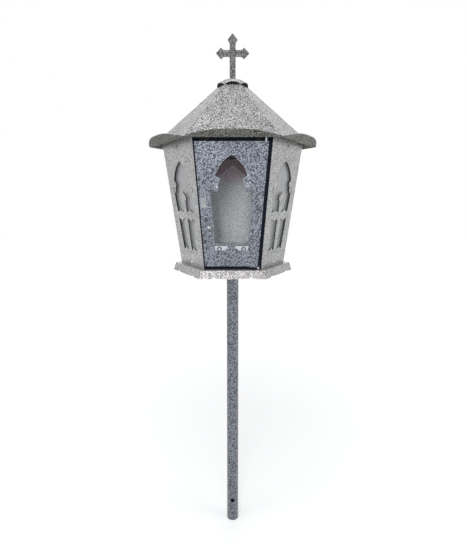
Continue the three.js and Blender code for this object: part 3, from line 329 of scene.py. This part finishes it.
cross_enamel = hammered("cross_enamel", (0.24, 0.24, 0.235), (0.045, 0.045, 0.045))
print("enamels:", len([m for m in bpy.data.materials if m.name.endswith("_enamel")]))

# %% [markdown]
# ## Painted shade and highlights that follow the place
# High inside, the walls are darkened and tinted brown as painted shade, with a painted
# shadow edge that peaks in the middle. The roof's underside beside the collar is darkened
# to navy as painted shade. On the door the scrolls and the fleur are painted a little paler
# than the sheet round them, as painted highlights. Each tint multiplies the enamel, so its
# veins stay.

# %% The tints
SPOT_EDGE = 0.5
# Millimetres beside the middle, height and radius
ORNAMENT_HIGHLIGHTS = {
    "lobes": (24.9, 761.5, 5.8),
    "scrolls": (29.8, 747, 6.4),
    "rings": (22.6, 642.5, 5),
    "curls": (8.5, 640, 4),
    "fleur": (0, 646, 8),
}


def tint(material, colour, share):
    """Multiplies the colour of a finish by another one, as far as a share says."""
    tree = material.node_tree
    shader = tree.nodes["Principled BSDF"]
    source = shader.inputs["Base Color"].links[0].from_socket
    tinted = mix(tree, share, source, (*colour, 1), blend_type="MULTIPLY")
    fill_in(tree, shader, {"Base Color": tinted})


def tint_above(material, colour, low, high, spread=0.0):
    """Tints a finish above a height. The edge peaks in the middle if it spreads."""
    tree = material.node_tree
    place = add(tree, "SeparateXYZ", {0: object_place(tree)})
    beside = maths(tree, "ABSOLUTE", place.outputs["X"])
    height = maths(tree, "MULTIPLY_ADD", beside, spread, place.outputs["Z"])
    tint(material, colour, remap(tree, height, (low, high)))


def tint_within(material, colour, inner, outer):
    """Tints a finish near the pole's axis."""
    tree = material.node_tree
    flat = vector_maths(tree, "MULTIPLY", object_place(tree), (1, 1, 0))
    radius = vector_maths(tree, "LENGTH", flat)
    tint(material, colour, remap(tree, radius, (outer, inner)))


def tint_spots(material, colour, spots):
    """Tints a finish on round spots left and right of the middle."""
    tree = material.node_tree
    folded = vector_maths(tree, "ABSOLUTE", object_place(tree))
    front = vector_maths(tree, "MULTIPLY", folded, (1, 0, 1))
    total = 0.0
    for beside, height, radius in spots:
        away = vector_maths(tree, "DISTANCE", front, (beside * MM, 0, height * MM))
        edge = ((radius + SPOT_EDGE) * MM, (radius - SPOT_EDGE) * MM)
        total = maths(tree, "MAXIMUM", total, remap(tree, away, edge))
    tint(material, colour, total)


# Painted shade high inside: a brownish darkening, then a darker one above an edge that peaks in the
# middle, like the edge of the light through the door's arch.
tint_above(lightened_inside_enamel, (1, 0.76, 0.8), low=0.748, high=0.776)
tint_above(lightened_inside_enamel, (0.68, 0.53, 0.54), low=0.8, high=0.803, spread=0.8)
# Painted shade: the roof's underside near the collar is darkened to navy.
tint_within(shaded_under_enamel, (0.26, 0.44, 0.8), inner=0.118, outer=0.124)
# Painted highlights: the door's lobes, scrolls, rings, curls and fleur are made paler.
tint_spots(door_enamel, (1.4, 1.4, 1.4), ORNAMENT_HIGHLIGHTS.values())
print("paler ornaments on the door:", ", ".join(ORNAMENT_HIGHLIGHTS))

# %% [markdown]
# ## Primer, zinc, plastic and glass
# The collar under the roof, the upstand, the door stops and the frames of the panes are
# only primed, in a dark satin coat, made near black as painted shade in the gaps round
# them. Jambs, the cut walls of the side windows and the cap's undersides are painted
# nearly black, as painted shade. Bolts, pins and rivets are zinc plated, with faint brush
# marks, but the rivets at the head of the walls take a darker steel, as painted shade under
# the eave. The panes are clear float glass. A pane that bends light would cost many samples
# and block the lamps, so it is made see-through instead, and more of its pale colour shows
# toward grazing angles, as a painted reflection of what real glass mirrors there. Light on
# its way to the walls inside passes it freely. The side panes show little of the inside, so
# they are denser than the door's, as a painted reflection of the pale surroundings.

# %% The other finishes
GRAIN_SCALE = 400
BRUSHED_SCALE = 900
GRAIN_RELIEF = 0.15
GRAIN_DEPTH = 0.1 * MM
GLASS_EDGE_BLEND = 0.3
GLASS_ROUGHNESS = 0.03


def plain(name, colour, rough, metal=0.0, grain=0.0, scale=GRAIN_SCALE, mirror=0.5):
    """A finish with a fine grain in its colour and its relief."""
    material, tree, shader = new_material(name)
    grains = noise(tree, object_place(tree), scale, 3).outputs["Fac"]
    dark = [c * (1 - grain) for c in colour]
    light = [min(1, c * (1 + grain)) for c in colour]
    relief = {"Height": grains, "Strength": GRAIN_RELIEF, "Distance": GRAIN_DEPTH}
    fill_in(
        tree,
        shader,
        {
            "Base Color": mix(tree, grains, (*dark, 1), (*light, 1)),
            "Normal": add(tree, "Bump", relief).outputs["Normal"],
            "Metallic": metal,
            "Roughness": rough,
            "Specular IOR Level": mirror,
        },
    )
    return material


def window_glass(name, colour, face_on, grazing):
    """A see-through pane, denser toward grazing angles, where its pale colour is a painted
    reflection.
    """
    material, tree, shader = new_material(name)
    facing = add(tree, "LayerWeight", {"Blend": GLASS_EDGE_BLEND}).outputs["Facing"]
    density = remap(tree, facing, (0, 1), (face_on, grazing))
    visible = maths(tree, "MULTIPLY", density, seen_directly(tree))
    look = {"Base Color": (*colour, 1), "Roughness": GLASS_ROUGHNESS, "Alpha": visible}
    fill_in(tree, shader, look)
    return material


# Real dark primer, made near black as painted shade in the gaps round the door and panes.
dark_primer_and_gap_shade = plain("dark_primer_and_gap_shade", (0.007, 0.01, 0.023), 0.6, grain=0.4, mirror=0.15)
# Painted shade: near black for jambs, the side windows' cut walls and the cap's undersides.
shade_black = plain("shade_black", (0.014, 0.015, 0.018), 0.7, grain=0.4, mirror=0.2)
# Painted shade: the rivets at the head of the walls are darker, for the shade under the eave.
shaded_head_steel = plain(
    "shaded_head_steel", (0.16, 0.16, 0.17), 0.5, metal=1.0, grain=0.3, scale=BRUSHED_SCALE
)
zinc = plain("zinc", (0.6, 0.61, 0.63), 0.3, metal=1.0, grain=0.2, scale=BRUSHED_SCALE)
white_plastic = plain("white_plastic", (0.6, 0.64, 0.65), 0.5, grain=0.08)
# Painted reflection: a pane's pale colour shows more toward grazing angles; the side panes are
# denser still.
clear_glass = window_glass("clear_glass", (0.62, 0.66, 0.67), face_on=0.02, grazing=0.85)
reflecting_side_glass = window_glass("reflecting_side_glass", (0.38, 0.385, 0.39), face_on=0.5, grazing=1.0)
print("materials:", len(bpy.data.materials))

# %% [markdown]
# ## Sheet metal with rounded edges
# A laser leaves a crisp edge, but paint rounds it. A copy of each solid has its split
# corners merged and its flat triangles dissolved. Then only real edges are left, and one
# bevel rounds them all. Weighted normals keep the large faces looking flat beside it.

# %% Rounding a copy of a solid
MERGE = 0.002 * MM
FLAT_ANGLE = 0.5
SHARP_ANGLE = 30
SMOOTH_ANGLE = 40
EDGE = 0.35 * MM
CUT_EDGE = 0.7 * MM
KNOB_EDGE = 0.95 * MM
BODY_OF = {n: body for body, names in frame["record"]["behaviour"]["bodies"].items() for n in names}
SLOT_OF = {row["node"]: row["material_slot"] for row in frame["record"]["subparts"]}


def finished(mesh, name, body, materials, replaced=()):
    """Turns a bmesh into a piece that rides on a body."""
    data = bpy.data.meshes.new(name)
    mesh.to_mesh(data)
    mesh.free()
    for material in materials:
        data.materials.append(material)
    data.shade_smooth()
    data.set_sharp_from_angle(angle=math.radians(SMOOTH_ANGLE))
    piece = bpy.data.objects.new(name, data)
    bpy.context.scene.collection.objects.link(piece)
    weighted = piece.modifiers.new("flat_faces", "WEIGHTED_NORMAL")
    weighted.keep_sharp = True
    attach(piece, body)
    if replaced:
        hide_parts(*replaced)


def merged_copy(node):
    mesh = bmesh.new()
    mesh.from_mesh(nodes[node].data)
    bmesh.ops.remove_doubles(mesh, verts=mesh.verts, dist=MERGE)
    return mesh


def round_edges(mesh, width, segments=2):
    """Bevels every real edge."""
    limit = math.radians(SHARP_ANGLE)
    edges = [e for e in mesh.edges if len(e.link_faces) == 2 and e.calc_face_angle() > limit]
    bmesh.ops.bevel(
        mesh,
        geom=edges,
        offset=width,
        offset_type="OFFSET",
        affect="EDGES",
        segments=segments,
        profile=0.5,
        material=-1,
        clamp_overlap=True,
    )


def sheet_piece(node, materials, choose=None, width=EDGE):
    """A piece that stands for a solid. A rule may choose each face's material."""
    mesh = merged_copy(node)
    bmesh.ops.dissolve_limit(
        mesh, angle_limit=math.radians(FLAT_ANGLE), verts=mesh.verts, edges=mesh.edges
    )
    round_edges(mesh, width)
    for face in mesh.faces if choose else ():
        face.material_index = int(choose(face))
    finished(mesh, node + "_sheet", BODY_OF[node], materials, [node])


# %% [markdown]
# ## Which face gets which finish
# A rule looks at the way a face points and sometimes at where it lies. Faces that point
# down or in are easy to tell by their normal. A cut edge stands across its sheet, so its
# normal lies nearly in the sheet's plane. The limits are cosines.

# %% Rules that choose a finish
RING = ["front", "front_right", "rear_right", "rear", "rear_left", "front_left"]
BESIDE_DOOR = (RING.index("front_right"), RING.index("front_left"))
HOUSE_TILT = math.radians(7.23)
POINTS_DOWN = -0.25
POINTS_IN = -0.6
LIES_ON_DOOR = 0.97
STANDS_ACROSS = 0.35
JAMB_SIDEWAYS = 0.9
LEDGE_SEAT = 635 * MM
TAB_HEAD = 721 * MM
WINDOW_HALF = 45 * MM
WINDOW_FOOT = 610 * MM
WINDOW_HEAD = 830 * MM


def face_outward(face):
    """The direction out of one of the six leaning faces, counted from the front."""
    angle = math.radians(60 * face - 90)
    flat = Vector((math.cos(angle), math.sin(angle), 0))
    return flat * math.cos(HOUSE_TILT) - UP * math.sin(HOUSE_TILT)


def looks_down(face):
    return face.normal.z < POINTS_DOWN


def looks_in(face):
    centre = face.calc_center_median()
    return face.normal.dot(Vector((centre.x, centre.y, 0)).normalized()) < POINTS_IN


def is_cut_edge(face):
    return abs(face.normal.dot(face_outward(0))) < LIES_ON_DOOR


def is_lip(face):
    return face.calc_center_median().z > LEDGE_SEAT


def knob_finish(face):
    """0 for the rosette's front, 1 for its rim with a painted highlight, 2 for the paler tab under
    it.
    """
    if is_cut_edge(face):
        return 1
    return 2 if face.calc_center_median().z < TAB_HEAD else 0


def wall_finish(number):
    """A rule for a wall: 0 outside, 1 for the paler inside, 2 for painted shade on jambs and on its
    window's cut walls.
    """
    out = face_outward(number)
    aside = UP.cross(out).normalized()

    def choose(face):
        centre = face.calc_center_median()
        beside = abs(centre.dot(aside))
        in_window = beside < WINDOW_HALF and WINDOW_FOOT < centre.z < WINDOW_HEAD
        is_cut = in_window and abs(face.normal.dot(out)) < STANDS_ACROSS
        is_jamb = number in BESIDE_DOOR and abs(face.normal.x) > JAMB_SIDEWAYS
        return 2 if is_cut or is_jamb else looks_in(face)

    return choose


# %% [markdown]
# ## Round pieces made round again
# Bolts, pins and rivets are solids with few sides. A solid of that kind is one outline
# repeated at every side, so the outline can be read back from a single side of it and
# spun again in finer steps.

# %% Spinning an outline that is read from a solid
ROUND_STEPS = 48
ROUND_EDGE = 0.2 * MM
ON_AXIS = 0.01 * MM
SAME_SIDE = 0.9999


def read_outline(mesh, axis):
    """The outline of a turned solid, as points in order on one side of its axis."""
    centre = sum((v.co for v in mesh.verts), Vector()) / len(mesh.verts)

    def off_axis(vert):
        out = vert.co - centre
        return out - axis * out.dot(axis)

    way = max((off_axis(v) for v in mesh.verts), key=lambda out: out.length).normalized()

    def on_side(vert):
        out = off_axis(vert)
        return out.length < ON_AXIS or out.normalized().dot(way) > SAME_SIDE

    side = [v for v in mesh.verts if on_side(v)]
    start = min(side, key=lambda v: (v.co - centre).dot(axis) + off_axis(v).length)
    ordered, here = [start], start
    while True:
        steps = [e.other_vert(here) for e in here.link_edges]
        steps = [v for v in steps if v in side and v not in ordered]
        if not steps:
            return centre, [v.co.copy() for v in ordered]
        here = min(steps, key=lambda v: (v.co - here.co).length)
        ordered.append(here)


def spin_outline(mesh, points, closed, centre, axis, steps):
    """Spins a row of points into a solid of revolution."""
    verts = [mesh.verts.new(point) for point in points]
    pairs = zip(verts, verts[1:] + verts[:1]) if closed else zip(verts, verts[1:])
    edges = [mesh.edges.new(pair) for pair in pairs]
    bmesh.ops.spin(
        mesh,
        geom=verts + edges,
        cent=centre,
        axis=axis,
        angle=2 * math.pi,
        steps=steps,
        use_merge=True,
        use_duplicate=False,
    )


def turned_piece(node, axis):
    """A solid of revolution with many sides in place of one with few."""
    mesh = merged_copy(node)
    centre, outline = read_outline(mesh, axis)
    mesh.free()
    spun = bmesh.new()
    spin_outline(spun, outline, False, centre, axis, ROUND_STEPS)
    bmesh.ops.remove_doubles(spun, verts=spun.verts, dist=MERGE)
    bmesh.ops.recalc_face_normals(spun, faces=spun.faces)
    round_edges(spun, ROUND_EDGE, segments=3)
    # The head rivets take the darker steel, as painted shade under the eave.
    finish = shaded_head_steel if node.startswith("rivet_head") else zinc
    finished(spun, node + "_round", BODY_OF[node], [finish], [node])


joints = {joint["name"]: joint for joint in frame["record"]["behaviour"]["joints"]}
hinge_axis = Vector(joints["door_swing"]["axis"]).normalized()
AXIS_OF = {
    f"rivet_{place}_{face}": face_outward(face)
    for place in ("foot", "head")
    for face in range(1, 6)
}
AXIS_OF["door_rivet"] = face_outward(0)
AXIS_OF.update({f"flange_bolt_{i}": UP for i in (1, 2, 3)})
AXIS_OF.update({"hinge_pin_top": hinge_axis, "hinge_pin_foot": hinge_axis})
for node, axis in AXIS_OF.items():
    turned_piece(node, axis)
print("turned pieces:", len(AXIS_OF))

# %% [markdown]
# ## The sheets
# The laser, the folds and the paint are the same everywhere, so one function rounds all
# sheets. Their finishes differ from face to face. A roof face takes a darker, duller copy of
# its enamel below, as painted shade. A wall is smooth inside and painted near white there,
# as painted light for the dim inside, and near black on its jamb and on the cut walls of its
# window, as painted shade. The cap is near black below, as painted shade. On the door and
# the knob the rounded edges are painted near white, as a painted highlight. Every piece
# that is left takes one finish, by the slot that the record gives it.

# %% Every other solid
FINISH_OF = {
    "door_paint": door_enamel,
    "pole_paint": pole_enamel,
    "cross_paint": cross_enamel,
    "dark_paint": dark_primer_and_gap_shade,
    "bare_steel": zinc,
    "clear_glass": clear_glass,
}
made = 0
for node in sorted(set(nodes) - set(AXIS_OF)):
    if node.startswith("roof_panel"):
        # Painted shade: faces that point down take the darker enamel.
        sheet_piece(node, [roof_enamel, shaded_under_enamel], looks_down)
    elif node == "roof_cap":
        # Painted shade: the cap's undersides are near black.
        sheet_piece(node, [tray_enamel, shade_black], looks_down)
    elif node.startswith("panel"):
        number = RING.index(node.removeprefix("panel_"))
        # Painted light and shade: near white inside, near black on jambs and window cut walls.
        sheet_piece(node, [pale_enamel, lightened_inside_enamel, shade_black], wall_finish(number))
    elif node == "base_tray":
        sheet_piece(node, [tray_enamel])
    elif node == "door_leaf":
        # Painted highlight on the door's rounded cut edges.
        sheet_piece(node, [door_enamel, highlight_edge_enamel], is_cut_edge, CUT_EDGE)
    elif node == "latch_knob":
        # Painted highlight on the knob's rim.
        sheet_piece(node, [latch_enamel, highlight_edge_enamel, tab_enamel], knob_finish, KNOB_EDGE)
    elif node == "door_glass_ledge":
        # Painted shadow: the ledge's lip behind the glass takes the dark pole enamel.
        sheet_piece(node, [white_plastic, pole_enamel], is_lip)
    elif node.startswith("glass_") and not node.startswith("glass_frame"):
        sheet_piece(node, [reflecting_side_glass])
    else:
        sheet_piece(node, [FINISH_OF[SLOT_OF[node]]])
    made += 1
print("rounded copies:", made)

# %% [markdown]
# ## Weld beads
# The sheets of the roof and the walls are joined along their seams by a fine bead under the
# paint. A curve with a bevel would do, but a bead has to lie on the metal, also where the
# eave lifts. So its path is found by casting rays at the solids on both sides of the seam,
# and a disc is pulled along that path.

# %% Beads along the seams
BEAD_SIDES = 8
BESIDE_SEAM = 0.5 * MM
ABOVE_ROOF = Vector((0, 0, 1.2))
ROOF_BEAD = 0.55 * MM
WALL_BEAD = 0.5 * MM
# From the cap past the eave, and from the tray to the collar
ROOF_REACH = [(29 + 1.5 * i) * MM for i in range(93)]
WALL_HEIGHTS = [0.5935 + 0.01 * i for i in range(25)]


def section_place(path, i):
    """Where the bead's round section stands at a point, square to the path."""
    along = (path[min(i + 1, len(path) - 1)] - path[max(i - 1, 0)]).normalized()
    across = along.cross(UP).normalized()
    turn = Matrix((across, along.cross(across), along)).transposed()
    return Matrix.Translation(path[i]) @ turn.to_4x4()


def bead(name, path, radius, finish):
    """A thin round bar: a disc that is pulled along a path, and stays at both ends only."""
    mesh = bmesh.new()
    place = section_place(path, 0)
    bmesh.ops.create_circle(
        mesh, cap_ends=True, segments=BEAD_SIDES, radius=radius, matrix=place
    )
    head = next(iter(mesh.faces))
    for i in range(1, len(path)):
        pulled = bmesh.ops.extrude_face_region(mesh, geom=[head])["geom"]
        if i > 1:
            bmesh.ops.delete(mesh, geom=[head], context="FACES_ONLY")
        head = next(part for part in pulled if isinstance(part, bmesh.types.BMFace))
        following = section_place(path, i)
        bmesh.ops.transform(mesh, matrix=following @ place.inverted(), verts=head.verts)
        place = following
    bmesh.ops.recalc_face_normals(mesh, faces=mesh.faces)
    finished(mesh, name, "house", [finish])


def seam_path(names, middles, aside, way):
    """Where rays on both sides of a seam hit the metal, halfway between them."""
    joined = bmesh.new()
    for name in names:
        joined.from_mesh(nodes[name].data)
    tree = BVHTree.FromBMesh(joined)
    joined.free()
    path = []
    for middle in middles:
        hits = [tree.ray_cast(point, way)[0] for point in (middle - aside, middle + aside)]
        if all(hits):
            path.append((hits[0] + hits[1]) / 2)
    return path


beads = 0
for corner in range(6):
    angle = math.radians(60 * corner - 60)
    out_way = Vector((math.cos(angle), math.sin(angle), 0))
    aside = Vector((-out_way.y, out_way.x, 0)) * BESIDE_SEAM
    near = [RING[corner], RING[(corner + 1) % 6]]

    middles = [out_way * reach + ABOVE_ROOF for reach in ROOF_REACH]
    path = seam_path([f"roof_panel_{name}" for name in near], middles, aside, -UP)
    bead(f"roof_seam_{corner + 1}", path, ROOF_BEAD, roof_enamel)
    beads += 1

    if "front" not in near:
        middles = [UP * height + out_way for height in WALL_HEIGHTS]
        path = seam_path([f"panel_{name}" for name in near], middles, aside, -out_way)
        bead(f"wall_seam_{corner + 1}", path, WALL_BEAD, pale_enamel)
        beads += 1
print("seam beads:", beads)

# %% [markdown]
# ## The weld under the flange
# A welder who goes round a tube by hand leaves a hollow fillet of overlapping scales. Its
# section is drawn as a few points and spun round the pole. Each scale is then cut into the
# ring by pushing its points in, most at the end where the next scale covers it.

# %% The weld under the flange
POLE_RADIUS = 12.5 * MM
FLANGE_FOOT = 584.3 * MM
WELD_LEG = 3.2 * MM
WELD_INTO_POLE = 0.1 * MM
WELD_INTO_FLANGE = 0.2 * MM
WELD_ARC_STEPS = 6
WELD_SCALES = 26
WELD_SCALE_STEPS = 8
SCALE_DEPTH = 0.3 * MM
SCALE_LEAN = 0.5

weld = bmesh.new()
inner = POLE_RADIUS - WELD_INTO_POLE
top = FLANGE_FOOT + WELD_INTO_FLANGE
section = []
for i in range(WELD_ARC_STEPS + 1):
    lean = math.radians(90 / WELD_ARC_STEPS * i)
    section.append(Vector((inner + WELD_LEG * math.sin(lean), 0, top - WELD_LEG * math.cos(lean))))
section.append(Vector((inner, 0, top)))
spin_outline(weld, section, True, (0, 0, 0), UP, WELD_SCALE_STEPS * WELD_SCALES)
for vert in weld.verts:
    out = Vector((vert.co.x, vert.co.y, 0))
    proud = max(0, out.length - POLE_RADIUS) / WELD_LEG
    low = max(0, FLANGE_FOOT - vert.co.z) / WELD_LEG
    turn = math.atan2(out.y, out.x) / (2 * math.pi) * WELD_SCALES + SCALE_LEAN * low
    scale = SCALE_DEPTH * (turn % 1) * min(1, 2 * proud) * min(1, 2 * low)
    vert.co -= out.normalized() * scale
bmesh.ops.recalc_face_normals(weld, faces=weld.faces)
finished(weld, "flange_weld", "house", [pole_enamel])
print("weld scales:", WELD_SCALES)
